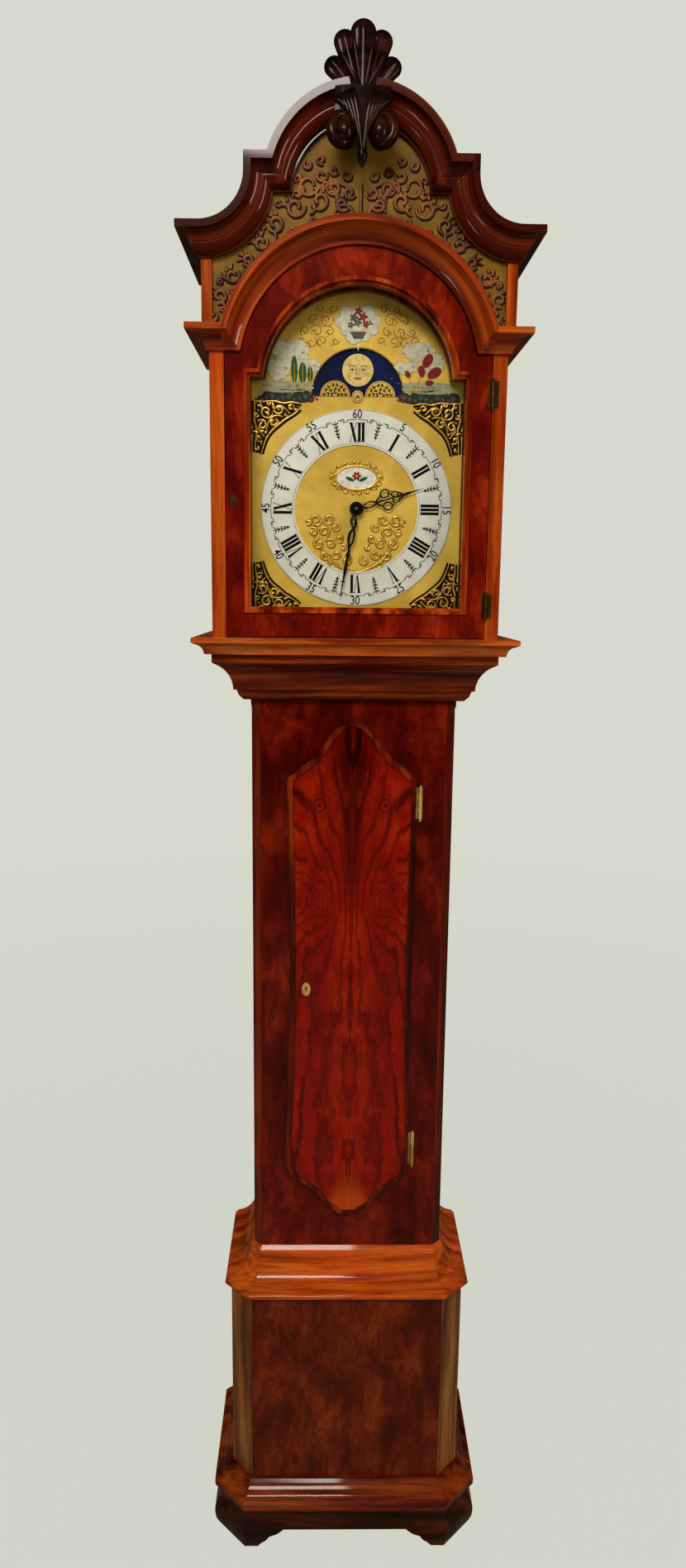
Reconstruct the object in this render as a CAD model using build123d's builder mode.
from build123d import *
from math import cos, degrees, atan2, radians, sin, sqrt, tan
import os

os.makedirs("parts", exist_ok=True)

# Longcase clock, millimetres. X runs to the right, Y to the back, Z up, floor at Z = 0.
# Depths are measured forward from the flat back of the case and written d.

# Driving dimensions of the case
total_depth = 262
back_y = total_depth / 2
trunk_half_front = 131.3
trunk_cant = 12.4
trunk_depth = 175
plinth_grow = 35
trunk_half_side = trunk_half_front + trunk_cant
joint_gap = 0.04
wall = 14
back_board_thick = 12

foot_height = 62
apron_z = 31
base_moulding_top = 103
waist_bottom = 416
waist_top = 483
throat_bottom = 1327.4
throat_top = 1392.5
rail_top = 1415

# Hood
hood_half = 191.5
hood_front = 218
upper_half = 200.5
face_depth = 212
tympanum_thick = 14
arch_centre_z = 1751.5
arch_inner_r = 153.5
arch_band = 28
return_z = 1777
cornice_half = 191.7
cornice_band = 36
cornice_tip_z = 1922.3
cornice_tip_x = 228.7
hollow_r = 57.3
hollow_x = 201.5
shoulder_z = 2000.3
shoulder_x = hollow_x - hollow_r
pediment_centre_z = 1961
pediment_r = 122

# Hood door
door_half = 172
door_bottom = 1416.5
door_shoulder_z = 1776
door_arch_r = 152.5
door_thick = 24
glass_half = 140
glass_bottom = 1456
glass_shoulder_z = 1748
glass_arch_r = 123.5
glass_arch_z = 1737
bead_width = 8

# Dial and movement
dial_depth = 176
dial_centre_z = 1586.5
ring_outer_r = 128.5
ring_inner_r = 83
moon_z = 1731
moon_opening_r = 61
hump_x = 30
hump_r = 20
seat_z = 1434
seat_thick = 18
plate_half = 72
plate_bottom = seat_z + seat_thick
plate_top = 1664
back_plate_d = 79
front_plate_d = 141
plate_thick = 3
plates_inside = back_plate_d + plate_thick
pivot_r = 1.0
running = 0.05

great_x = 27
great_module = 0.9
train_module = 0.8
third_module = 0.7
sprocket_r = 15
chain_d = 100
suspension_z = 1648.4
pendulum_d = 36
bob_z = 651
bob_r = 65
weight_r = 26
weight_bottom = 560
weight_length = 200


def front_plane(d):
    """Plane facing the front, d forward of the back; local x is X and local y is Z."""
    return Plane.XZ.offset(d - back_y)


def level(z):
    return Plane.XY.offset(z)


def plan(x, d):
    return (x, back_y - d)


def case_outline(grow):
    """Right back, round the front, to left back: canted outline grown evenly by grow."""
    shift = grow * tan(radians(22.5))
    side = trunk_half_side + grow
    front = trunk_half_front + shift
    cant_d = trunk_depth - trunk_cant + shift
    depth = trunk_depth + grow
    right = [(side, 0), (side, cant_d), (front, depth)]
    left = [(-x, d) for x, d in reversed(right)]
    return [plan(x, d) for x, d in right + left]


def square_outline(half, depth):
    return [plan(half, 0), plan(half, depth), plan(-half, depth), plan(-half, 0)]


def prism(z0, z1, points):
    """Adds a vertical prism over plan points to the part being built."""
    with BuildSketch(level(z0)) as base:
        with BuildLine():
            Polyline(*points, close=True)
        make_face()
    return extrude(base.sketch, amount=z1 - z0)


def block(x0, x1, d0, d1, z0, z1, mode=Mode.ADD):
    """Adds a box given by its two corners, depths counted from the back."""
    with BuildSketch(level(z0)) as base:
        with Locations(plan((x0 + x1) / 2, (d0 + d1) / 2)):
            Rectangle(abs(x1 - x0), abs(d1 - d0))
    return extrude(base.sketch, amount=z1 - z0, mode=mode)


def disc(x, z, r, d0, d1, bore=0, mode=Mode.ADD):
    """Adds a round plate or rod whose axis runs from front to back."""
    with BuildSketch(front_plane(d0)) as face:
        with Locations((x, z)):
            Circle(r)
            if bore:
                Circle(bore, mode=Mode.SUBTRACT)
    return extrude(face.sketch, amount=d1 - d0, mode=mode)


def post(x, d, r, z0, z1, mode=Mode.ADD):
    """Adds an upright rod."""
    with BuildSketch(level(z0)) as face:
        with Locations(plan(x, d)):
            Circle(r)
    return extrude(face.sketch, amount=z1 - z0, mode=mode)


def plate(points, d0, d1, mode=Mode.ADD):
    """Adds a plate facing the front, outlined by (x, z) points."""
    with BuildSketch(front_plane(d0)) as face:
        with BuildLine():
            Polyline(*points, close=True)
        make_face()
    return extrude(face.sketch, amount=d1 - d0, mode=mode)


def mirrored(points):
    """A closed outline from its right half, given from top to bottom."""
    return points + [(-x, z) for x, z in reversed(points) if x > 0]


def board_walls(outline, thick, z0, z1, keep):
    """Adds the mitred boards of a carcase; keep picks the runs by number."""
    inner = []
    for i, point in enumerate(outline):
        here = Vector(*point)
        before = Vector(*outline[i - 1]) if i > 0 else here + Vector(0, 10)
        after = Vector(*outline[i + 1]) if i + 1 < len(outline) else here + Vector(0, 10)
        t1 = (here - before).normalized()
        t2 = (after - here).normalized()
        bisector = Vector((t1 + t2).Y, -(t1 + t2).X).normalized()
        reach = thick / bisector.dot(Vector(t1.Y, -t1.X))
        if i in (0, len(outline) - 1):
            bisector = Vector(-1, 0) if point[0] > 0 else Vector(1, 0)
            reach = thick
        inner.append(here + bisector * reach)
    for i in keep:
        a = Vector(*outline[i])
        b = Vector(*outline[i + 1])
        along = (b - a).normalized() * joint_gap
        quad = [a + along, b - along, inner[i + 1] - along, inner[i] + along]
        if i == 0:
            quad = [a, b - along, inner[i + 1] - along, inner[i]]
        if i == len(outline) - 2:
            quad = [a + along, b, inner[i + 1], inner[i] + along]
        prism(z0, z1, [(p.X, p.Y) for p in quad])


def moulding_runs(outline, profile):
    """Mitred strips of one profile laid round an outline, one solid for each run.

    The profile is a sketch of (overhang, height). Each run is cut on the mitre planes.
    """
    strips = []
    reach = 90
    for i in range(len(outline) - 1):
        a = Vector(*outline[i])
        b = Vector(*outline[i + 1])
        along = (b - a).normalized()
        outward = Vector(-along.Y, along.X)
        start_cap = 0 if i == 0 else reach
        end_cap = 0 if i == len(outline) - 2 else reach
        origin = a - along * start_cap
        with BuildPart() as strip:
            with BuildSketch(Plane(origin=origin, x_dir=outward, z_dir=along)):
                add(profile)
            extrude(amount=(b - a).length + start_cap + end_cap)
            if start_cap:
                before = (a - Vector(*outline[i - 1])).normalized()
                mitre = (before + along).normalized()
                split(bisect_by=Plane(origin=a + mitre * joint_gap, z_dir=mitre))
            if end_cap:
                after = (Vector(*outline[i + 2]) - b).normalized()
                mitre = (after + along).normalized()
                split(bisect_by=Plane(origin=b - mitre * joint_gap, z_dir=-mitre))
        strips.append(strip.part)
    return strips


def finish(piece, name):
    piece.part.label = name
    export_step(piece.part, f"parts/{name}.step")


# Profiles, drawn as (overhang, height)

with BuildSketch() as base_profile:
    with BuildLine():
        Polyline((0, foot_height), (0, base_moulding_top), (5, 101.8), (9, 98), (10.2, 93.5), (13.5, 90.6))
        ThreePointArc((13.5, 90.6), (17.2, 84.6), (24, 80.4))
        Polyline((24, 80.4), (28.5, 77), (28.5, 66.7), (25.5, 66.7), (25.5, foot_height), (0, foot_height))
    make_face()

with BuildSketch() as waist_profile:
    with BuildLine():
        Polyline((0, waist_top), (5, 477.6), (8, 465), (9.5, 459.4))
        ThreePointArc((9.5, 459.4), (18.2, 440.5), (38, 430.6))
        Polyline((38, 430.6), (40, 430), (40, 428))
        ThreePointArc((40, 428), (44.6, 423.5), (41, 418.6))
        Polyline((41, 418.6), (36, waist_bottom), (0, waist_bottom), (0, waist_top))
    make_face()

with BuildSketch() as foot_profile:
    with BuildLine():
        Polyline((10, foot_height), (22, foot_height), (20.5, 56))
        Spline((20.5, 56), (21.6, 46), (26.5, 34), (29.3, 22), (28.6, 9), (26.5, 0))
        Polyline((26.5, 0), (10, 0), (10, foot_height))
    make_face()

with BuildSketch() as throat_profile:
    with BuildLine():
        Polyline((0, throat_bottom), (9.4, 1328.6), (15.5, 1334.8), (18.4, 1342.5), (22.7, 1343.3))
        ThreePointArc((22.7, 1343.3), (30.2, 1366.5), (45.5, 1379.3))
        Polyline((45.5, 1379.3), (49, 1381.5), (49, throat_top), (0, throat_top), (0, throat_bottom))
    make_face()

with BuildSketch() as rail_profile:
    with BuildLine():
        Polyline((1.5, throat_top + 0.4), (57.5, 1393), (59, 1398))
        ThreePointArc((59, 1398), (62.5, 1403.4), (69, 1406.6))
        Polyline((69, 1406.6), (73.5, 1409), (73.5, rail_top), (1.5, rail_top), (1.5, throat_top + 0.4))
    make_face()


# Base of the case

plinth_outline = case_outline(plinth_grow)
trunk_outline = case_outline(0)

with BuildPart() as bracket_feet:
    for strip in moulding_runs(plinth_outline, foot_profile.sketch):
        add(strip)
    # The front and side boards are sawn away between the feet in a stepped ogee
    arch_half = [(0, apron_z), (96, apron_z), (106, 24), (118, 20), (124, 12), (130, 8), (137, -1)]
    plate([(-x, z) for x, z in reversed(arch_half)] + arch_half[1:], 150, 260, mode=Mode.SUBTRACT)
    side_arch = [(46, -1), (54, 8), (60, 12), (66, 20), (78, 24), (88, apron_z)]
    side_cut = side_arch + [(246 - d, z) for d, z in reversed(side_arch)]
    for x in (-230, 130):
        with BuildSketch(Plane.YZ.offset(x)) as cut:
            with BuildLine():
                Polyline(*[(back_y - d + 8, z) for d, z in side_cut], close=True)
            make_face()
        extrude(cut.sketch, amount=100, mode=Mode.SUBTRACT)

with BuildPart() as base_moulding:
    for strip in moulding_runs(plinth_outline, base_profile.sketch):
        add(strip)

floor_z = 64
floor_thick = 16
with BuildPart() as case_floor:
    floor_back = back_y - back_board_thick - 1
    floor_outline = [(x, min(y, floor_back)) for x, y in case_outline(plinth_grow - wall - 1)]
    prism(floor_z, floor_z + floor_thick, floor_outline)

with BuildPart() as plinth_front:
    board_walls(plinth_outline, wall, foot_height, waist_bottom, [2])

with BuildPart() as plinth_corners:
    board_walls(plinth_outline, wall, foot_height, waist_bottom, [1, 3])

with BuildPart() as plinth_sides:
    board_walls(plinth_outline, wall, foot_height, waist_bottom, [0, 4])

with BuildPart() as waist_moulding:
    for strip in moulding_runs(trunk_outline, waist_profile.sketch):
        add(strip)


# Trunk

trunk_z0 = 420
door_head = [(0, 1299.4), (20.6, 1290.8), (33, 1277.5), (43, 1262), (58, 1243.5), (76, 1230.5), (88, 1220)]
door_head += [(93.2, 1205)]
door_waist = (88.8, 905)
door_foot = [(94.8, 640), (92.6, 614), (83, 599.8), (70.5, 590.4), (57, 581.5), (45.2, 569), (32.4, 552.8)]
door_foot += [(15.8, 541), (0, 538.2)]


def let_in(points, inset):
    """Moves the points of a clockwise half outline inwards, square to the curve."""
    moved = []
    for i, point in enumerate(points):
        run = Vector(*points[min(i + 1, len(points) - 1)]) - Vector(*points[max(i - 1, 0)])
        if point[0] == 0:
            run = Vector(1, 0) if i == 0 else Vector(-1, 0)
        elif i in (0, len(points) - 1):
            run = Vector(0, -1)
        inward = Vector(run.Y, -run.X).normalized() * inset
        moved.append((point[0] + inward.X, point[1] + inward.Y))
    return moved


def door_face(inset):
    """Shaped outline of the trunk door: ogee head and foot, gently waisted sides."""
    head = let_in(door_head, inset)
    foot = let_in(door_foot, inset)
    with BuildSketch() as face:
        with BuildLine():
            Spline(*head, tangents=((1, 0), (0, -1)))
            ThreePointArc(head[-1], (door_waist[0] - inset, door_waist[1]), foot[0])
            Spline(*foot, tangents=((0, -1), (-1, 0)))
            Line(foot[-1], head[0])
        make_face()
        mirror(about=Plane.YZ)
    return face.sketch


opening_inset = 6.5
panel_inset = 8
door_core_d = 161.5
lip_d = 175.4
panel_face_d = 180
moulding_face_d = 182.5
hinge_x = 96.6
hinge_d = 179
knuckle_r = 2.8
pin_r = 1.2
leaf = 1.2
upper_hinge = (1159, 1204)
lower_hinge = (621, 673)


def knuckle_spans(z0, z1):
    """Five knuckles in a row with a hair between them, as (bottom, top, moves)."""
    length = (z1 - z0) / 5
    return [(z0 + i * length + 0.15, z0 + (i + 1) * length - 0.15, i % 2 == 1) for i in range(5)]


def fixed_butt(x, d, z0, z1, leaf_x0, leaf_x1, leaf_d0, leaf_d1, tab_d1):
    """Fixed half of a butt hinge: leaf, outer knuckles and the pin with its two finials."""
    block(leaf_x0, leaf_x1, leaf_d0, leaf_d1, z0, z1)
    for low, high, moves in knuckle_spans(z0, z1):
        if not moves:
            post(x, d, knuckle_r, low, high)
            block(leaf_x0, leaf_x1, leaf_d0, tab_d1, low, high)
    post(x, d, pin_r, z0 - 3, z1 + 3)
    post(x, d, pin_r + 0.9, z0 - 3, z0)
    post(x, d, pin_r + 0.9, z1, z1 + 3)


def moving_butt(x, d, z0, z1, leaf_x0, leaf_x1, leaf_d0, leaf_d1, tab_x1):
    """Moving half of a butt hinge: leaf and inner knuckles bored for the pin."""
    block(leaf_x0, leaf_x1, leaf_d0, leaf_d1, z0, z1)
    for low, high, moves in knuckle_spans(z0, z1):
        if moves:
            post(x, d, knuckle_r, low, high)
            block(leaf_x0, tab_x1, leaf_d0, leaf_d1, low, high)
    post(x, d, pin_r + running, z0 - 4, z1 + 4, mode=Mode.SUBTRACT)


leaf_slot_x = (96, 97.2)
leaf_slot_d = (163.5, 174.5)

with BuildPart() as trunk_front:
    board_walls(trunk_outline, wall, trunk_z0, throat_top, [2])
    with BuildSketch(front_plane(155)) as opening:
        add(door_face(opening_inset))
    extrude(opening.sketch, amount=30, mode=Mode.SUBTRACT)
    for low, high in (upper_hinge, lower_hinge):
        block(leaf_slot_x[0], leaf_slot_x[1], leaf_slot_d[0], 176, low, high, mode=Mode.SUBTRACT)

stop_low = 1306
stop_high = 1320
with BuildPart() as trunk_corners:
    board_walls(trunk_outline, wall, trunk_z0, throat_top, [1, 3])
    # The cants stop short of the top, where the corners are left square
    for side in (1, -1):
        corner = [(trunk_half_front, trunk_depth), (trunk_half_side, trunk_depth)]
        corner += [(trunk_half_side, trunk_depth - trunk_cant)]
        corner = [plan(side * x, d) for x, d in corner]
        prism(stop_high, throat_top, corner)
        with BuildSketch(level(stop_low)) as toe:
            with BuildLine():
                Polyline(*[plan(side * (trunk_half_side - trunk_cant + c), trunk_depth - c - 0.5 + e)
                           for c, e in ((0.2, 0.3), (trunk_cant - 0.2, 0.3), (6, 0.6))], close=True)
            make_face()
        with BuildSketch(level(stop_high)) as heel:
            with BuildLine():
                Polyline(*corner, close=True)
            make_face()
        loft([toe.sketch.face(), heel.sketch.face()], ruled=True)

with BuildPart() as trunk_sides:
    board_walls(trunk_outline, wall, trunk_z0, seat_z, [0, 4])

back_half_plinth = trunk_half_side + plinth_grow - wall
back_half_trunk = trunk_half_side - wall
back_half_hood = 172
with BuildPart() as back_board:
    silhouette = [(back_half_hood, 1868), (back_half_hood, seat_z + 2), (back_half_trunk, seat_z + 2)]
    silhouette += [(back_half_trunk, waist_bottom), (back_half_plinth, waist_bottom)]
    silhouette += [(back_half_plinth, foot_height)]
    plate(mirrored(silhouette), 0, back_board_thick)

throat_outline = square_outline(trunk_half_side, trunk_depth)
with BuildPart() as throat_moulding:
    for strip in moulding_runs(throat_outline, throat_profile.sketch):
        add(strip)


# Trunk door

with BuildPart() as trunk_door_panel:
    with BuildSketch(front_plane(door_core_d)) as core:
        add(door_face(panel_inset))
    extrude(core.sketch, amount=panel_face_d - door_core_d)

with BuildPart() as trunk_door_moulding:
    # A bead in two steps round the panel, the outer one lower
    for inset, top_d in ((0, lip_d + 4.2), (2.4, moulding_face_d)):
        with BuildSketch(front_plane(lip_d)) as lip:
            add(door_face(inset))
            add(door_face(panel_inset), mode=Mode.SUBTRACT)
        extrude(lip.sketch, amount=top_d - lip_d)
    for low, high in (upper_hinge, lower_hinge):
        block(84, 97, lip_d - 1, lip_d + leaf + 0.6, low, high, mode=Mode.SUBTRACT)
        block(90, 99, lip_d - 1, moulding_face_d + 1, low - 4, high + 4, mode=Mode.SUBTRACT)

bolt_z = 902.6
lock_x = -65
with BuildPart() as trunk_door_brassware:
    for low, high in (upper_hinge, lower_hinge):
        moving_butt(hinge_x, hinge_d, low, high, 87.4, 93.3, lip_d + 0.2, lip_d + 0.2 + leaf, hinge_x)
    # Keyhole plate on the face
    with BuildSketch(front_plane(panel_face_d)) as escutcheon:
        with Locations((lock_x, bolt_z)):
            Ellipse(6.5, 10)
            with Locations((0, 2)):
                Circle(1.8, mode=Mode.SUBTRACT)
            Rectangle(1.6, 7, mode=Mode.SUBTRACT)
    extrude(escutcheon.sketch, amount=1)
    # Lock case behind the panel, open towards the edge for its bolt
    block(-80, -50, 149, door_core_d, bolt_z - 18, bolt_z + 18)
    block(-81, -58, 152, 156, bolt_z - 5, bolt_z + 5, mode=Mode.SUBTRACT)

with BuildPart() as trunk_lock_bolt:
    block(-79.8, -58.5, 152.05, 155.95, bolt_z - 4.95, bolt_z + 4.95)

with BuildPart() as trunk_hinge_plates:
    for low, high in (upper_hinge, lower_hinge):
        fixed_butt(hinge_x, hinge_d, low, high, leaf_slot_x[0], leaf_slot_x[1],
                   leaf_slot_d[0], leaf_slot_d[1], hinge_d - 1.8)


# Seat board and the dial

going_lines = (great_x - sprocket_r, great_x + sprocket_r)
with BuildPart() as seat_board:
    block(-trunk_half_side, trunk_half_side, 62, 160, seat_z, plate_bottom)
    for side in (1, -1):
        for x in going_lines:
            post(side * x, chain_d, 5.5, seat_z - 1, plate_bottom + 1, mode=Mode.SUBTRACT)

plate_edge = 3
dial_half = glass_half + plate_edge
dial_bottom = 1451
dial_shoulder = 1754
dial_arch_r = 126
with BuildPart() as dial_plate:
    with BuildSketch(front_plane(dial_depth - 2)) as sheet:
        with BuildLine():
            start_x = sqrt(dial_arch_r ** 2 - (dial_shoulder - glass_arch_z) ** 2)
            Polyline((-start_x, dial_shoulder), (-dial_half, dial_shoulder), (-dial_half, dial_bottom),
                     (dial_half, dial_bottom), (dial_half, dial_shoulder), (start_x, dial_shoulder))
            ThreePointArc((start_x, dial_shoulder), (0, glass_arch_z + dial_arch_r),
                          (-start_x, dial_shoulder))
        make_face()
        # Lunette for the moon: a half round less the two humps and the pivot boss
        with BuildSketch(mode=Mode.SUBTRACT):
            with Locations((0, moon_z)):
                Circle(moon_opening_r)
            with Locations((0, moon_z - 50)):
                Rectangle(200, 100, mode=Mode.SUBTRACT)
            with Locations((hump_x, moon_z), (-hump_x, moon_z)):
                Circle(hump_r, mode=Mode.SUBTRACT)
            with Locations((0, moon_z)):
                Circle(7.5, mode=Mode.SUBTRACT)
        with Locations((0, dial_centre_z)):
            Circle(5.5, mode=Mode.SUBTRACT)
        with Locations((0, moon_z)):
            Circle(1.5 + running, mode=Mode.SUBTRACT)
    extrude(sheet.sketch, amount=2)
    for x in (-58, 58):
        for z in (1470, 1640):
            disc(x, z, 3, front_plate_d + plate_thick, dial_depth - 2)

with BuildPart() as chapter_ring:
    disc(0, dial_centre_z, ring_outer_r, dial_depth, dial_depth + 1.5, bore=ring_inner_r)

casting_d = 2.5
with BuildPart() as dial_castings:
    with BuildSketch(front_plane(dial_depth)) as castings:
        for sx in (1, -1):
            for sz, zc in ((1, 1704), (-1, 1472)):
                with Locations((sx * 111, zc)):
                    Circle(15)
                with Locations((sx * 130, zc - sz * 26)):
                    Circle(7)
                with Locations((sx * 86, zc + sz * 11)):
                    Circle(7)
                with BuildLine() as leaf_line:
                    Polyline((sx * 136, zc - sz * 30), (sx * 136, zc + sz * 17), (sx * 82, zc + sz * 17),
                             (sx * 84, zc + sz * 8), (sx * 108, zc - sz * 6), (sx * 126, zc - sz * 30),
                             close=True)
                make_face()
        with Locations((0, 1627)):
            Ellipse(36, 23)
        with Locations((0, 1533)):
            Ellipse(62, 11)
        with Locations((0, 1518)):
            Circle(12)
        with Locations((44, 1548), (-44, 1548)):
            Circle(13)
    extrude(castings.sketch, amount=casting_d)
    disc(0, dial_centre_z, ring_outer_r + 0.3, dial_depth - 1, dial_depth + 5,
         bore=ring_inner_r - 0.3, mode=Mode.SUBTRACT)
    disc(0, dial_centre_z, 12, dial_depth - 1, dial_depth + 5, mode=Mode.SUBTRACT)


# Movement: wheel trains laid out in the front view

def polar(origin, length, angle):
    return (origin[0] + length * cos(radians(angle)), origin[1] + length * sin(radians(angle)))


def bearing(origin, target):
    return degrees(atan2(target[1] - origin[1], target[0] - origin[0]))


def mesh_distance(teeth, leaves, module):
    return (teeth + leaves) * module / 2


def gear(centre, teeth, module, toward, d0, d1, gap=False, bore=0, windows=0):
    """Adds a spur gear with a tooth, or a gap, pointing toward the given bearing."""
    pitch = 360 / teeth
    pitch_r = teeth * module / 2
    root_r = pitch_r - 1.25 * module
    tip_r = pitch_r + 0.75 * module
    first = toward + (pitch / 2 if gap else 0)
    corners = []
    for i in range(teeth):
        angle = first + i * pitch
        for r, turn in ((root_r, -0.22), (tip_r, -0.09), (tip_r, 0.09), (root_r, 0.22)):
            corners.append(polar(centre, r, angle + turn * pitch))
    with BuildSketch(front_plane(d0)) as face:
        with BuildLine():
            Polyline(*corners, close=True)
        make_face()
        if windows:
            hub_r = max(6, 0.28 * pitch_r)
            rim_r = root_r - 3
            with BuildSketch(mode=Mode.SUBTRACT):
                with Locations(centre):
                    Circle(rim_r)
                    Circle(hub_r, mode=Mode.SUBTRACT)
                    for i in range(windows):
                        with Locations(Rotation(0, 0, first + 180 * i / windows)):
                            Rectangle(2.2 * pitch_r, 3.4, mode=Mode.SUBTRACT)
        if bore:
            with Locations(centre):
                Circle(bore, mode=Mode.SUBTRACT)
    extrude(face.sketch, amount=d1 - d0)


centre = (0, dial_centre_z)
great_gap = mesh_distance(96, 8, great_module)
great_z = dial_centre_z - sqrt(great_gap ** 2 - great_x ** 2)
going_great = (great_x, great_z)
strike_great = (-great_x, great_z)
third = polar(centre, mesh_distance(64, 8, train_module), 46)
escape_gap = mesh_distance(60, 8, third_module)
escape = (0, third[1] + sqrt(escape_gap ** 2 - third[0] ** 2))
escape_r = 18
pallet_axis = (0, suspension_z)
pin_wheel = polar(strike_great, great_gap, 113.8)
fly = polar(pin_wheel, mesh_distance(64, 8, train_module), 74)
motion_gap = mesh_distance(42, 14, 0.75)
minute_stud = (-motion_gap, dial_centre_z)
hammer_axis = (-52, 1640)
inner_arbors = [going_great, strike_great, third, escape, pin_wheel, fly, hammer_axis]


def arbor(at, r, extra=0):
    """Adds an arbor between the plates with a pivot in each."""
    disc(at[0], at[1], r, plates_inside + 0.4, front_plate_d - 0.4)
    disc(at[0], at[1], pivot_r, back_plate_d + 0.5, front_plate_d + plate_thick - 0.5 + extra)


with BuildPart() as movement_frame:
    with BuildSketch(front_plane(back_plate_d)) as frame_plate:
        with Locations((0, (plate_bottom + plate_top) / 2)):
            RectangleRounded(2 * plate_half, plate_top - plate_bottom, 4)
        with Locations(*inner_arbors, centre):
            Circle(pivot_r + running, mode=Mode.SUBTRACT)
        with Locations(pallet_axis):
            Circle(6, mode=Mode.SUBTRACT)
    extrude(frame_plate.sketch, amount=plate_thick)
    with BuildSketch(front_plane(front_plate_d)) as front_sheet:
        with Locations((0, (plate_bottom + plate_top) / 2)):
            RectangleRounded(2 * plate_half, plate_top - plate_bottom, 4)
        with Locations(*inner_arbors, pallet_axis):
            Circle(pivot_r + running, mode=Mode.SUBTRACT)
        with Locations(centre):
            Circle(2.5 + running, mode=Mode.SUBTRACT)
    extrude(front_sheet.sketch, amount=plate_thick)
    for x in (-plate_half + 8, plate_half - 8):
        for z in (plate_bottom + 8, plate_top - 8):
            disc(x, z, 5, plates_inside, front_plate_d)
            disc(x, z, 7, plates_inside, plates_inside + 4)
            disc(x, z, 7, front_plate_d - 4, front_plate_d)
    # Stud of the minute wheel
    disc(minute_stud[0], minute_stud[1], 1.5, front_plate_d + plate_thick, 158)
    # Back cock that carries the pendulum over the pallet arbor
    for x in (-14, 14):
        block(x - 3, x + 3, 22, back_plate_d, suspension_z - 4, suspension_z + 6)
    block(-17, 17, 22, 50, suspension_z + 6, suspension_z + 12)
    # Bell post
    block(-12, -4, 90, 98, plate_top - 10, plate_top + 6)
    block(-12, -4, 82, 98, plate_top - 10, plate_top)
    post(-8, 94, 2.5, plate_top, plate_top + 74)

with BuildPart() as minute_arbor:
    disc(0, dial_centre_z, 2.5, plates_inside + 0.4, 164)
    disc(0, dial_centre_z, pivot_r, back_plate_d + 0.5, plates_inside + 1)
    gear(centre, 64, train_module, bearing(centre, third), 122, 124, windows=5)
    gear(centre, 8, great_module, bearing(centre, going_great), 104, 114, gap=True)
    gear(centre, 14, 0.75, 180, 146, 150)
    disc(0, dial_centre_z, 3, 150, 183)
    disc(0, dial_centre_z, 1.8, 183, 189)

with BuildPart() as hour_wheel:
    gear(centre, 48, 0.7, 180, 152, 154, gap=True, bore=3 + running)
    disc(0, dial_centre_z, 4.4, 154, 180.5, bore=3 + running)

with BuildPart() as minute_wheel:
    gear(minute_stud, 42, 0.75, 0, 146.5, 149, gap=True, bore=1.5 + running)
    gear(minute_stud, 12, 0.7, 0, 149, 156, bore=1.5 + running)


def hand(length, boss, width, angle, d0, thick, bore):
    """Adds a pierced tapering hand; angle is counted clockwise from twelve."""
    turn = 90 - angle
    edge = [(boss * 0.8, 1.2), (length * 0.34, width * 0.28), (length * 0.5, width * 0.5)]
    edge += [(length * 0.64, width * 0.42), (length * 0.72, 1.0), (length * 0.86, 1.5)]
    edge = edge + [(length, 0)] + [(u, -v) for u, v in reversed(edge)]
    outline = [polar(polar(centre, u, turn), v, turn + 90) for u, v in edge]
    with BuildSketch(front_plane(d0)) as face:
        with BuildLine():
            Polyline(*outline, close=True)
        make_face()
        with Locations(centre):
            Circle(boss)
        with Locations(polar(centre, length * 0.5, turn)):
            Circle(width * 0.2, mode=Mode.SUBTRACT)
        with Locations(centre):
            Circle(bore, mode=Mode.SUBTRACT)
    extrude(face.sketch, amount=thick)


hour_angle = 73
minute_angle = 190
with BuildPart() as hour_hand:
    hand(95, 8, 20, hour_angle, 180.5, 1.3, 3 + running)

with BuildPart() as minute_hand:
    hand(122, 6.5, 13, minute_angle, 183, 1.3, 1.8)
    disc(0, dial_centre_z, 4, 184.3, 186.6, bore=1.8)

with BuildPart() as going_great_wheel:
    arbor(going_great, 3)
    gear(going_great, 96, great_module, bearing(going_great, centre), 108, 110, windows=3)
    disc(going_great[0], going_great[1], sprocket_r - 1.9, chain_d - 4, chain_d + 4)
    disc(going_great[0], going_great[1], sprocket_r + 3, chain_d - 6, chain_d - 4)
    disc(going_great[0], going_great[1], sprocket_r + 3, chain_d + 4, chain_d + 6)

with BuildPart() as third_wheel:
    arbor(third, 1.6)
    gear(third, 8, train_module, bearing(third, centre), 118, 128, gap=True)
    gear(third, 60, third_module, bearing(third, escape), 131, 133, windows=4)

with BuildPart() as escape_wheel:
    arbor(escape, 1.6)
    gear(escape, 8, third_module, bearing(escape, third), 128, 136, gap=True)
    with BuildSketch(front_plane(90)) as escape_face:
        with BuildLine():
            tips = []
            for i in range(30):
                for r, turn in ((escape_r - 5, 0), (escape_r, 2.5), (escape_r - 0.3, 4), (escape_r - 5, 8)):
                    tips.append(polar(escape, r, 12 * i + turn))
            Polyline(*tips, close=True)
        make_face()
        with BuildSketch(mode=Mode.SUBTRACT):
            with Locations(escape):
                Circle(escape_r - 7)
                Circle(4, mode=Mode.SUBTRACT)
                Rectangle(30, 2.4, mode=Mode.SUBTRACT)
                Rectangle(2.4, 30, mode=Mode.SUBTRACT)
    extrude(escape_face.sketch, amount=1.6)

with BuildPart() as strike_great_wheel:
    arbor(strike_great, 3)
    gear(strike_great, 96, great_module, bearing(strike_great, pin_wheel), 115, 117, windows=3)
    disc(strike_great[0], strike_great[1], sprocket_r - 1.9, chain_d - 4, chain_d + 4)
    disc(strike_great[0], strike_great[1], sprocket_r + 3, chain_d - 6, chain_d - 4)
    disc(strike_great[0], strike_great[1], sprocket_r + 3, chain_d + 4, chain_d + 6)

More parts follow.
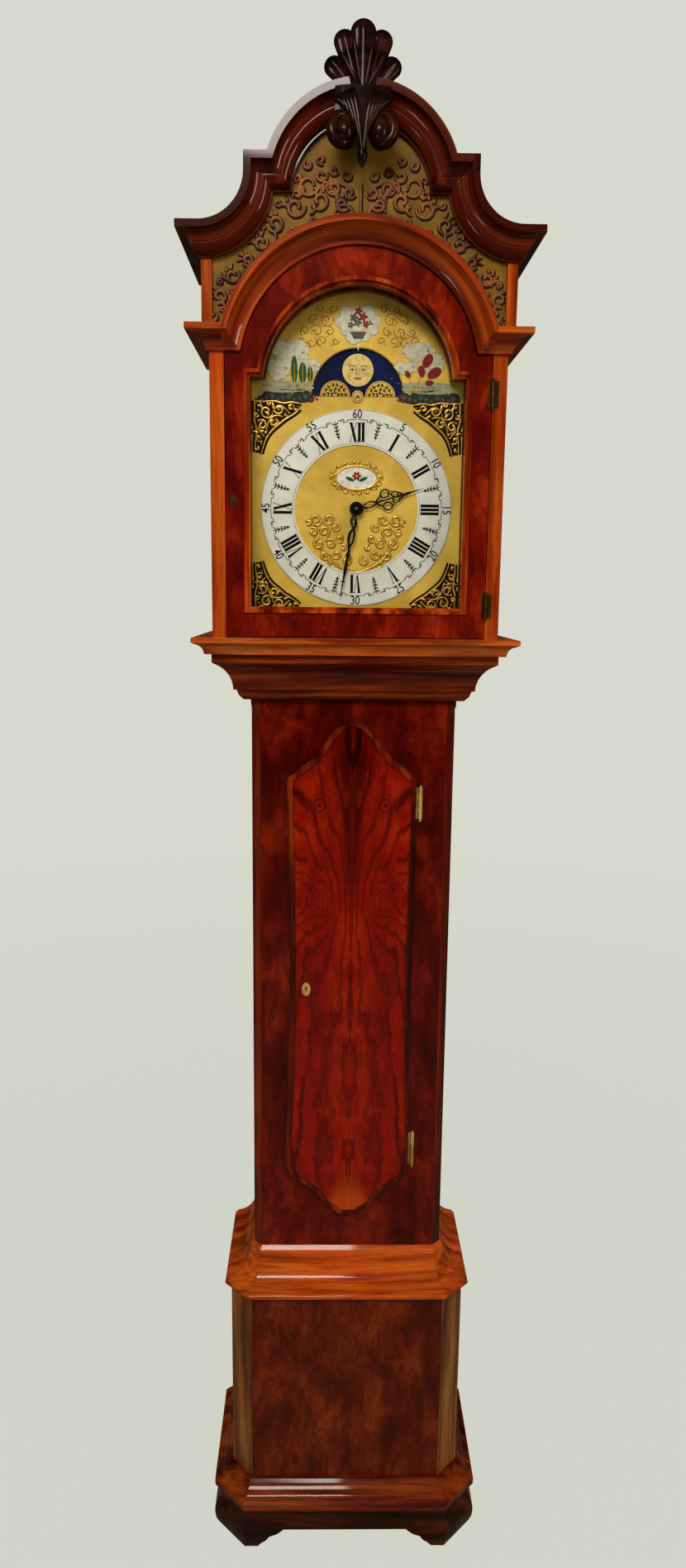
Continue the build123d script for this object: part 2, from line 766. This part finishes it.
with BuildPart() as strike_pin_wheel:
    arbor(pin_wheel, 2)
    gear(pin_wheel, 8, great_module, bearing(pin_wheel, strike_great), 112.5, 119.5, gap=True)
    gear(pin_wheel, 64, train_module, bearing(pin_wheel, fly), 127, 129, windows=5)

with BuildPart() as strike_fly:
    arbor(fly, 1.6)
    gear(fly, 8, train_module, bearing(fly, pin_wheel), 124, 132, gap=True)
    block(fly[0] - 14, fly[0] + 14, 88, 106, fly[1] - 0.5, fly[1] + 0.5)
    disc(fly[0], fly[1], 3, 92, 102)

with BuildPart() as moon_disc:
    disc(0, moon_z, moon_opening_r + 1.5, 171, 172.2)
    disc(0, moon_z, 5, 167, 171)
    disc(0, moon_z, 1.5, 172.2, dial_depth + 1)
    disc(0, moon_z, 7.2, dial_depth + 0.3, dial_depth + 1.8)

fork_d = 30
with BuildPart() as pallets:
    disc(0, suspension_z, 2, plates_inside + 0.4, front_plate_d - 0.4)
    disc(0, suspension_z, pivot_r, front_plate_d - 1, front_plate_d + plate_thick - 0.5)
    disc(0, suspension_z, 1.6, 54, plates_inside + 1)
    # Anchor, just clear of the escape teeth
    with BuildSketch(front_plane(89.4)) as anchor:
        with BuildLine():
            half_anchor = [(0, suspension_z + 4), (9, suspension_z + 1), (17, suspension_z - 10)]
            half_anchor += [(17.8, suspension_z - 16.6), (15.3, suspension_z - 15.6)]
            half_anchor += [(12.4, suspension_z - 9), (6, suspension_z - 5.2), (0, suspension_z - 4.6)]
            Polyline(*half_anchor, *[(-x, z) for x, z in reversed(half_anchor[1:-1])], close=True)
        make_face()
    extrude(anchor.sketch, amount=3)
    # Crutch reaching down to a fork around the pendulum rod
    block(-2.5, 2.5, 54, 57, suspension_z - 120, suspension_z)
    block(-7.5, 7.5, 50, 57, suspension_z - 124, suspension_z - 120)
    for x in (-6.25, 6.25):
        block(x - 1.25, x + 1.25, fork_d, 50, suspension_z - 124, suspension_z - 120)

rod_r = 3
with BuildPart() as pendulum_rod:
    block(-0.3, 0.3, 30, 42, suspension_z - 26, suspension_z + 5.6)
    block(-5, 5, 30, 42, suspension_z - 40, suspension_z - 24)
    post(0, pendulum_d, rod_r, bob_z - bob_r - 26, suspension_z - 38)
    post(0, pendulum_d, 7, bob_z - bob_r - 16, bob_z - bob_r - 8)

with BuildPart() as pendulum_bob:
    with BuildSketch(Plane.XY.offset(0)) as bob_half:
        with BuildLine():
            Polyline((0, -8), (0, 8))
            ThreePointArc((0, 8), (bob_r * 0.55, 6.2), (bob_r, 1.2))
            Line((bob_r, 1.2), (bob_r, -1.2))
            ThreePointArc((bob_r, -1.2), (bob_r * 0.55, -6.2), (0, -8))
        make_face()
    revolve(bob_half.sketch.moved(Location((0, back_y - pendulum_d, bob_z))),
            axis=Axis((0, 0, bob_z), (0, 1, 0)))
    post(0, pendulum_d, rod_r, bob_z - bob_r - 1, bob_z + bob_r + 1, mode=Mode.SUBTRACT)


def weight_solid(x):
    """Adds a cased weight with its hook eye."""
    post(x, chain_d, weight_r, weight_bottom + 3, weight_bottom + weight_length)
    post(x, chain_d, weight_r - 3, weight_bottom, weight_bottom + weight_length + 3)
    post(x, chain_d, 5, weight_bottom + weight_length, weight_bottom + weight_length + 12)
    with BuildSketch(Plane.YZ.offset(x - 1.5)) as eye:
        with Locations((back_y - chain_d, weight_bottom + weight_length + 19)):
            Circle(9)
            Circle(6, mode=Mode.SUBTRACT)
    extrude(eye.sketch, amount=3)


chain_r = 1.5
ring_top = 1424
chain_low = weight_bottom + weight_length + 28
weight_x = great_x + sprocket_r
ring_x = great_x - sprocket_r

with BuildPart() as going_weight:
    weight_solid(weight_x)

with BuildPart() as strike_weight:
    weight_solid(-weight_x)

with BuildPart() as going_chain:
    post(weight_x, chain_d, chain_r, chain_low, great_z)

with BuildPart() as strike_chain:
    post(-weight_x, chain_d, chain_r, chain_low, great_z)


def pull_ring(x):
    """Adds the small ring on the free side of a chain."""
    with BuildSketch(Plane.YZ.offset(x - 1)) as loop:
        with Locations((back_y - chain_d, ring_top - 9)):
            Circle(9)
            Circle(7, mode=Mode.SUBTRACT)
    extrude(loop.sketch, amount=2)


with BuildPart() as going_ring:
    pull_ring(ring_x)

with BuildPart() as strike_ring:
    pull_ring(-ring_x)

with BuildPart() as free_chains:
    for side in (1, -1):
        post(side * ring_x, chain_d, chain_r, ring_top + 0.4, great_z)

bell_r = 42
bell_rim_z = 1680
bell_x = -8
with BuildPart() as bell:
    with BuildSketch(Plane.XZ) as bell_half:
        with BuildLine():
            Line((0, 44), (0, 41.5))
            ThreePointArc((0, 41.5), (27, 33), (bell_r - 4, 12))
            Line((bell_r - 4, 12), (bell_r - 1, 0))
            Line((bell_r - 1, 0), (bell_r + 1.5, 0))
            Line((bell_r + 1.5, 0), (bell_r - 1.5, 13))
            ThreePointArc((bell_r - 1.5, 13), (29, 35.2), (0, 44))
        make_face()
    revolve(bell_half.sketch.moved(Location((bell_x, back_y - 94, bell_rim_z))),
            axis=Axis((bell_x, back_y - 94, 0), (0, 0, 1)))
    post(bell_x, 94, 2.5, bell_rim_z + 40, bell_rim_z + 46, mode=Mode.SUBTRACT)

with BuildPart() as bell_hammer:
    disc(hammer_axis[0], hammer_axis[1], 2, plates_inside + 0.4, front_plate_d - 0.4)
    disc(hammer_axis[0], hammer_axis[1], pivot_r, back_plate_d + 0.5, front_plate_d + plate_thick - 0.5)
    stick = [(-53.3, hammer_axis[1]), (-50.7, hammer_axis[1]), (-54.7, 1688), (-57.3, 1688)]
    plate(stick, 92, 96)
    with BuildSketch(Plane.YZ.offset(-59)) as head:
        with Locations((back_y - 94, 1690)):
            Circle(5)
    extrude(head.sketch, amount=7.6)


# Hood

rail_half = trunk_half_side
with BuildPart() as hood_base_rail:
    for strip in moulding_runs(throat_outline, rail_profile.sketch):
        add(strip)

side_thick = 13
stile_in = 173
with BuildPart() as hood_sides:
    for side in (1, -1):
        outline = [(hood_half, 0), (hood_half, hood_front), (stile_in, hood_front), (stile_in, 196)]
        outline += [(hood_half - side_thick, 196), (hood_half - side_thick, 0)]
        prism(rail_top, return_z, [plan(side * x, d) for x, d in outline])
        block(side * (hood_half - side_thick), side * hood_half, 0, 196, return_z, 1806)
        block(side * 187, side * upper_half, 0, 217, 1806, 1886)

mask_d = (180, 189)
with BuildPart() as hood_mask:
    with BuildSketch(front_plane(mask_d[0])) as mask:
        with BuildLine():
            Polyline((-178, 1420), (178, 1420), (178, 1880), (-178, 1880), close=True)
        make_face()
        with Locations((0, (1454 + 1750) / 2)):
            Rectangle(2 * glass_half, 1750 - 1454, mode=Mode.SUBTRACT)
        with Locations((0, glass_arch_z)):
            Circle(122, mode=Mode.SUBTRACT)
    extrude(mask.sketch, amount=mask_d[1] - mask_d[0])


def band_run(profile, x0, x1, z):
    """A straight horizontal strip of a front-facing moulding, built from its outer edge."""
    with BuildPart() as strip:
        with BuildSketch(Plane(origin=(x1, back_y - face_depth, z), x_dir=(0, 0, -1), z_dir=(-1, 0, 0))):
            add(profile)
        extrude(amount=x1 - x0)
    return strip.part


def upright_run(profile, x, z0, z1):
    """A straight upright strip of a front-facing moulding, built inwards from its outer edge."""
    with BuildPart() as strip:
        with BuildSketch(Plane(origin=(x, back_y - face_depth, z0), x_dir=(-1, 0, 0), z_dir=(0, 0, 1))):
            add(profile)
        extrude(amount=z1 - z0)
    return strip.part


# Arch moulding: (distance in from the outer edge, projection from the face board)
with BuildSketch() as arch_profile:
    with BuildLine():
        Polyline((0, 0), (0, 34), (7.5, 34), (8.5, 31))
        ThreePointArc((8.5, 31), (15, 17.5), (23, 11.5))
        Polyline((23, 11.5), (24, 10.5), (28, 10.5), (28, 0), (0, 0))
    make_face()

with BuildSketch() as cornice_profile:
    with BuildLine():
        Polyline((0, 0), (0, 37), (9, 37), (9.5, 34.5))
        ThreePointArc((9.5, 34.5), (13, 26), (20, 22))
        Polyline((20, 22), (21, 20.5))
        ThreePointArc((21, 20.5), (29.5, 17.6), (33, 9.5))
        Polyline((33, 9.5), (33, 7), (36, 7), (36, 0), (0, 0))
    make_face()


def keep_between(part, *planes):
    """Cuts a part by planes and keeps the side that each normal points to."""
    with BuildPart() as piece:
        add(part)
        for cut in planes:
            split(bisect_by=cut)
    return piece.part


def cut_plane(x0, z0, x1, z1, gap=joint_gap):
    """Plane square to the front through two points; its normal is to the left of their line."""
    run = Vector(x1 - x0, 0, z1 - z0).normalized()
    normal = Vector(-run.Z, 0, run.X)
    return Plane(origin=Vector(x0, 0, z0) + normal * gap, z_dir=normal)


def ring_band(profile, centre_x, centre_z, outer_r, inward):
    """A full turn of a front-facing moulding about a centre in the front view.

    inward is 1 where the outer edge has the larger radius and -1 in a hollow.
    """
    with BuildPart() as band:
        with BuildSketch(Plane(origin=(centre_x + outer_r, back_y - face_depth, centre_z),
                               x_dir=(-inward, 0, 0), z_dir=(0, 0, inward))):
            add(profile)
        revolve(axis=Axis((centre_x, 0, centre_z), (0, 1, 0)))
    return band.part


arch_outer_r = arch_inner_r + arch_band
return_top = return_z + arch_band
mitre_in_x = sqrt(arch_inner_r ** 2 - (return_z - arch_centre_z) ** 2)
mitre_out_x = sqrt(arch_outer_r ** 2 - (return_top - arch_centre_z) ** 2)

# The side returns carry the same projection from the thinner hood side
with BuildSketch() as arch_side_profile:
    with BuildLine():
        Polyline((0, return_top), (28, return_top), (28, return_top - 7.5), (25, return_top - 8.5))
        ThreePointArc((25, return_top - 8.5), (11.5, return_top - 15), (5.5, return_top - 23))
        Polyline((5.5, return_top - 23), (4.5, return_top - 24), (4.5, return_z), (0, return_z))
        Line((0, return_z), (0, return_top))
    make_face()

with BuildSketch() as cornice_side_profile:
    base_o = upper_half - cornice_half
    with BuildLine():
        Polyline((base_o, cornice_tip_z), (37, cornice_tip_z), (37, cornice_tip_z - 9),
                 (34.5, cornice_tip_z - 9.5))
        ThreePointArc((34.5, cornice_tip_z - 9.5), (26, cornice_tip_z - 13), (22, cornice_tip_z - 20))
        Line((22, cornice_tip_z - 20), (20.5, cornice_tip_z - 21))
        ThreePointArc((20.5, cornice_tip_z - 21), (17.6, cornice_tip_z - 29.5), (11, cornice_tip_z - 33))
        Polyline((11, cornice_tip_z - 33), (11, cornice_tip_z - 36), (base_o, cornice_tip_z - 36))
        Line((base_o, cornice_tip_z - 36), (base_o, cornice_tip_z))
    make_face()

with BuildPart() as arch_moulding:
    ring = ring_band(arch_profile.sketch, 0, arch_centre_z, arch_outer_r, 1)
    add(keep_between(ring, cut_plane(mitre_in_x, return_z, mitre_out_x, return_top),
                     cut_plane(-mitre_out_x, return_top, -mitre_in_x, return_z),
                     Plane(origin=(0, 0, arch_centre_z))))
    corner_x = hood_half + arch_band
    run = band_run(arch_profile.sketch, mitre_in_x - 5, corner_x, return_top)
    right = keep_between(run, cut_plane(mitre_out_x, return_top, mitre_in_x, return_z),
                         Plane(origin=(hood_half, back_y - hood_front, 0) + Vector(-joint_gap, joint_gap, 0),
                               z_dir=(-1, -1, 0)))
    add(right)
    add(mirror(right, about=Plane.YZ, mode=Mode.PRIVATE))
    side_outline = square_outline(hood_half, hood_front)
    sides = moulding_runs(side_outline, arch_side_profile.sketch)
    add(sides[0])
    add(sides[2])


def pediment_face(inset, low_z):
    """The outline of the pediment board, let in from the moulding's outer edge."""
    r = pediment_r - inset
    step_z = shoulder_z - inset
    arch_x = sqrt(r ** 2 - (step_z - pediment_centre_z) ** 2)
    hollow = hollow_r + inset
    hollow_z = cornice_tip_z + hollow_r
    board_half = upper_half - 14
    meet_z = hollow_z - sqrt(hollow ** 2 - (hollow_x - board_half) ** 2)
    waist = (hollow_x - hollow * sin(radians(50)), hollow_z - hollow * cos(radians(50)))
    with BuildSketch() as face:
        with BuildLine():
            Polyline((0, low_z), (board_half, low_z), (board_half, meet_z))
            ThreePointArc((board_half, meet_z), waist, (hollow_x - hollow, hollow_z))
            Polyline((hollow_x - hollow, hollow_z), (hollow_x - hollow, step_z), (arch_x, step_z))
            ThreePointArc((arch_x, step_z), (r * 0.6, pediment_centre_z + r * 0.8),
                          (0, pediment_centre_z + r))
            Line((0, pediment_centre_z + r), (0, low_z))
        make_face()
        mirror(about=Plane.YZ)
    return face.sketch


with BuildPart() as tympanum_board:
    with BuildSketch(front_plane(face_depth - tympanum_thick)) as board:
        add(pediment_face(3, return_z))
        with Locations((0, arch_centre_z)):
            Circle(arch_inner_r + 0.5, mode=Mode.SUBTRACT)
    extrude(board.sketch, amount=tympanum_thick)

roof_thick = 9
with BuildPart() as hood_roof:
    with BuildSketch(front_plane(0)) as roof:
        add(pediment_face(4, 1888))
        add(pediment_face(4 + roof_thick, 1880), mode=Mode.SUBTRACT)
    extrude(roof.sketch, amount=face_depth - tympanum_thick)
    for side in (1, -1):
        block(side * (upper_half - 14), side * upper_half, 0, 210, 1886.2, cornice_tip_z - 4)

with BuildPart() as cornice:
    arch_in_r = pediment_r - cornice_band
    step_in_z = shoulder_z - cornice_band
    meet_out_x = sqrt(pediment_r ** 2 - (shoulder_z - pediment_centre_z) ** 2)
    meet_in_x = sqrt(arch_in_r ** 2 - (step_in_z - pediment_centre_z) ** 2)
    head = ring_band(cornice_profile.sketch, 0, pediment_centre_z, pediment_r, 1)
    add(keep_between(head, cut_plane(meet_in_x, step_in_z, meet_out_x, shoulder_z),
                     cut_plane(-meet_out_x, shoulder_z, -meet_in_x, step_in_z),
                     Plane(origin=(0, 0, pediment_centre_z - 10))))
    step_corner = (shoulder_x - cornice_band, step_in_z)
    shelf = band_run(cornice_profile.sketch, meet_in_x - 2, shoulder_x, shoulder_z)
    shelf = keep_between(shelf, cut_plane(meet_out_x, shoulder_z, meet_in_x, step_in_z),
                         cut_plane(step_corner[0], step_corner[1], shoulder_x, shoulder_z))
    hollow_z = cornice_tip_z + hollow_r
    upright = upright_run(cornice_profile.sketch, shoulder_x, hollow_z + joint_gap, shoulder_z)
    riser = keep_between(upright, cut_plane(shoulder_x, shoulder_z, step_corner[0], step_corner[1]))
    sweep_band = ring_band(cornice_profile.sketch, hollow_x, hollow_z, hollow_r, -1)
    sweep_part = keep_between(sweep_band, Plane(origin=(hollow_x - joint_gap, 0, 0), z_dir=(-1, 0, 0)),
                              Plane(origin=(0, 0, hollow_z - joint_gap), z_dir=(0, 0, -1)))
    end = band_run(cornice_profile.sketch, hollow_x, cornice_tip_x, cornice_tip_z)
    mitre_point = Vector(cornice_half - joint_gap, back_y - face_depth + joint_gap, 0)
    end = keep_between(end, Plane(origin=mitre_point, z_dir=(-1, -1, 0)))
    for piece in (shelf, riser, sweep_part, end):
        add(piece)
        add(mirror(piece, about=Plane.YZ, mode=Mode.PRIVATE))
    cornice_outline = square_outline(cornice_half, face_depth)
    returns = moulding_runs(cornice_outline, cornice_side_profile.sketch)
    add(returns[0])
    add(returns[2])


def curl(x, z, r, start, sweep, width):
    """Adds one scroll stroke to the sketch: a slot bent round a centre."""
    SlotArc(CenterArc((x, z), r, start, sweep), width)


fret_width = 3.6
# Running scroll over the arch: bearing from the arch centre, radius and size of each curl
fret_curls = [(83.5, 203, 9), (76, 212, 12), (67.5, 214, 13), (59, 208, 11), (51.2, 200, 9)]
fret_curls += [(43.6, 196.5, 8), (35.8, 199, 9.5), (27.4, 200.5, 9.5), (19.8, 199, 7)]
with BuildPart() as fretwork:
    with BuildSketch(front_plane(face_depth)) as fret:
        for i, (angle, reach, size) in enumerate(fret_curls):
            x, z = polar((0, arch_centre_z), reach, angle)
            turn = 1 if i % 2 == 0 else -1
            curl(x, z, size, angle + 100 * turn, 270 * turn, fret_width)
            curl(x, z, size * 0.45, angle - 40 * turn, 230 * turn, fret_width * 0.8)
            if i + 1 < len(fret_curls):
                after = fret_curls[i + 1]
                half = ((angle + after[0]) / 2, (reach + after[1]) / 2 + 5 * turn)
                tip = polar((0, arch_centre_z), half[1], half[0])
                curl(tip[0], tip[1], 7.5, angle + 90 - 100 * turn, 150 * turn, fret_width)
            curl(x, z, size + 3.5, angle - 30, 70, fret_width * 0.7)
        # Two long loops either side of a stem under the carving
        curl(31, 1956, 22, 35, 115, fret_width)
        curl(66, 1974, 12, -150, 290, fret_width)
        curl(20, 1942, 12, 10, 150, fret_width)
        mirror(about=Plane.YZ)
        with Locations((0, 1956)):
            Rectangle(fret_width, 44)
        curl(0, 1964, 9, 180, 180, fret_width)
        with Locations((0, arch_centre_z)):
            Circle(arch_outer_r + 0.3, mode=Mode.SUBTRACT)
        add(pediment_face(cornice_band + 0.3, return_top + 0.3), mode=Mode.INTERSECT)
    extrude(fret.sketch, amount=2.5)


def drop(start, end, r0, r1):
    """Adds a round tapering limb between two (x, d, z) points, with a domed far end."""
    foot = Vector(start[0], back_y - start[1], start[2])
    run = Vector(end[0], back_y - end[1], end[2]) - foot
    length = run.length
    with BuildPart() as limb:
        with BuildSketch(Plane.XZ):
            with BuildLine():
                Polyline((0, length + r1), (0, 0), (r0, 0), (r1, length))
                ThreePointArc((r1, length), (r1 * 0.8, length + r1 * 0.65), (r1 * 0.25, length + r1))
                Line((r1 * 0.25, length + r1), (0, length + r1))
            make_face()
        revolve(axis=Axis.Z)
    add(limb.part.moved(Plane(origin=foot, z_dir=run).location))


crest_d = 253
crest_back = 222
# Tip of each lobe with its half width: (x, z, radius)
lobes = [(0, 2131, 15.5), (22, 2124, 13.5), (34.5, 2098, 12.5)]
with BuildPart() as crest_carving:
    # Backing board behind the shell, and the block under the leaves
    with BuildSketch(front_plane(crest_back)) as shell:
        with BuildLine():
            Polyline((0, 2125), (27, 2116), (42, 2096), (44, 2080), (33.5, 2068), (33.5, 2040), (0, 2040),
                     close=True)
        make_face()
        mirror(about=Plane.YZ)
    extrude(shell.sketch, amount=22)
    block(-33.5, 33.5, 238, 255, 2030, 2069)
    # Five lobes of the shell spread from a low centre and lean back to their tips
    for x, z, r in lobes:
        for side in ((1, -1) if x else (1,)):
            drop((side * x * 0.3, crest_d, 2068), (side * x, crest_d - 9, z), 7, r)
    # Two volutes under two leaves that part from the middle
    for side in (1, -1):
        drop((side * 22, 240, 2015), (side * 24, 243, 2027), 17, 19)
        drop((side * 5, 250, 2000), (side * 25, 251, 2052), 5, 9)
        drop((side * 3, 252, 2014), (side * 9, 254, 2064), 5, 6)
    drop((0, 250, 2004), (0, 249, 1988), 6, 5)
    # Held within the depth of the clock and bedded over the arch of the cornice
    block(-60, 60, crest_back, total_depth, 1975, 2160, mode=Mode.INTERSECT)
    disc(0, pediment_centre_z, pediment_r + 0.05, 200, 249.05, bore=pediment_r - cornice_band - 0.05,
         mode=Mode.SUBTRACT)


# Hood door

def opening_face(grow):
    """The glazed opening: straight sides, rounded shoulders and a round arch."""
    half = glass_half + grow
    r = glass_arch_r + grow
    spring = sqrt(r ** 2 - (glass_shoulder_z + grow - glass_arch_z) ** 2)
    with BuildSketch() as face:
        with BuildLine():
            Polyline((0, glass_bottom - grow), (half, glass_bottom - grow), (half, glass_shoulder_z + grow),
                     (spring, glass_shoulder_z + grow))
            ThreePointArc((spring, glass_shoulder_z + grow), (r * 0.6, glass_arch_z + r * 0.8),
                          (0, glass_arch_z + r))
            Line((0, glass_arch_z + r), (0, glass_bottom - grow))
        make_face()
        mirror(about=Plane.YZ)
    return face.sketch


hood_hinge_x = 172.6
hood_hinge_d = 221.1
hood_hinges = ((1444, 1475), (1712, 1745))
door_back = hood_front - door_thick

with BuildPart() as hood_door_frame:
    with BuildSketch(front_plane(door_back)) as door_shape:
        with BuildLine():
            door_spring = sqrt(door_arch_r ** 2 - (door_shoulder_z - arch_centre_z) ** 2)
            Polyline((-door_spring, door_shoulder_z), (-door_half, door_shoulder_z),
                     (-door_half, door_bottom), (door_half, door_bottom),
                     (door_half, door_shoulder_z), (door_spring, door_shoulder_z))
            ThreePointArc((door_spring, door_shoulder_z), (0, arch_centre_z + door_arch_r),
                          (-door_spring, door_shoulder_z))
        make_face()
        add(opening_face(bead_width), mode=Mode.SUBTRACT)
    extrude(door_shape.sketch, amount=door_thick)
    for low, high in hood_hinges:
        block(168, 173, hood_front - leaf, hood_front + 1, low - 3.2, high + 3.2, mode=Mode.SUBTRACT)

with BuildPart() as hood_door_bead:
    # Two steps: a low flat inside and a raised roll against the frame
    for grow, top_d in ((0, hood_front - 2), (3.4, hood_front + 2.5)):
        with BuildSketch(front_plane(door_back + 8)) as bead_shape:
            add(opening_face(bead_width))
            add(opening_face(grow), mode=Mode.SUBTRACT)
        extrude(bead_shape.sketch, amount=top_d - door_back - 8)

with BuildPart() as hood_door_glass:
    with BuildSketch(front_plane(door_back + 4.5)) as pane:
        add(opening_face(bead_width - 0.3))
    extrude(pane.sketch, amount=3)

hood_lock_z = 1591.6
with BuildPart() as hood_door_brassware:
    for low, high in hood_hinges:
        moving_butt(hood_hinge_x, hood_hinge_d, low, high, 168, 171.9,
                    hood_front - leaf, hood_front, 171.9)
        for z0, z1, moves in knuckle_spans(low, high):
            if moves:
                block(170.2, 171.4, hood_front - leaf, hood_hinge_d, z0, z1)
    with BuildSketch(front_plane(hood_front)) as keyplate:
        with Locations((-161.3, hood_lock_z)):
            Ellipse(4.5, 8)
            Rectangle(1.4, 6, mode=Mode.SUBTRACT)
    extrude(keyplate.sketch, amount=1)

with BuildPart() as hood_hinge_plates:
    for low, high in hood_hinges:
        fixed_butt(hood_hinge_x, hood_hinge_d, low, high, 175.8, 181, hood_front, hood_front + leaf,
                   hood_front + leaf)
        for z0, z1, moves in knuckle_spans(low, high):
            if not moves:
                block(173.8, 176, hood_front, hood_front + leaf, z0, z1)
                block(173.8, 175, hood_front, hood_hinge_d, z0, z1)


pieces = {
    "bracket_feet": bracket_feet, "base_moulding": base_moulding, "case_floor": case_floor,
    "plinth_front": plinth_front, "plinth_corners": plinth_corners, "plinth_sides": plinth_sides,
    "waist_moulding": waist_moulding, "trunk_front": trunk_front, "trunk_corners": trunk_corners,
    "trunk_sides": trunk_sides, "back_board": back_board, "throat_moulding": throat_moulding,
    "seat_board": seat_board, "trunk_hinge_plates": trunk_hinge_plates, "dial_plate": dial_plate,
    "chapter_ring": chapter_ring, "dial_castings": dial_castings, "movement_frame": movement_frame,
    "bell": bell, "free_chains": free_chains, "minute_arbor": minute_arbor, "minute_hand": minute_hand,
    "hour_wheel": hour_wheel, "hour_hand": hour_hand, "minute_wheel": minute_wheel,
    "going_great_wheel": going_great_wheel, "third_wheel": third_wheel, "escape_wheel": escape_wheel,
    "moon_disc": moon_disc, "strike_great_wheel": strike_great_wheel,
    "strike_pin_wheel": strike_pin_wheel, "strike_fly": strike_fly, "pallets": pallets,
    "pendulum_rod": pendulum_rod, "pendulum_bob": pendulum_bob, "going_weight": going_weight,
    "strike_weight": strike_weight, "going_chain": going_chain, "strike_chain": strike_chain,
    "going_ring": going_ring, "strike_ring": strike_ring, "bell_hammer": bell_hammer,
    "hood_sides": hood_sides, "hood_base_rail": hood_base_rail, "hood_roof": hood_roof,
    "hood_mask": hood_mask, "arch_moulding": arch_moulding, "tympanum_board": tympanum_board,
    "fretwork": fretwork, "cornice": cornice, "crest_carving": crest_carving,
    "hood_hinge_plates": hood_hinge_plates, "hood_door_frame": hood_door_frame,
    "hood_door_bead": hood_door_bead, "hood_door_glass": hood_door_glass,
    "hood_door_brassware": hood_door_brassware, "trunk_door_panel": trunk_door_panel,
    "trunk_door_moulding": trunk_door_moulding, "trunk_door_brassware": trunk_door_brassware,
    "trunk_lock_bolt": trunk_lock_bolt,
}
for name, piece in pieces.items():
    finish(piece, name)
print(len(pieces), "pieces")
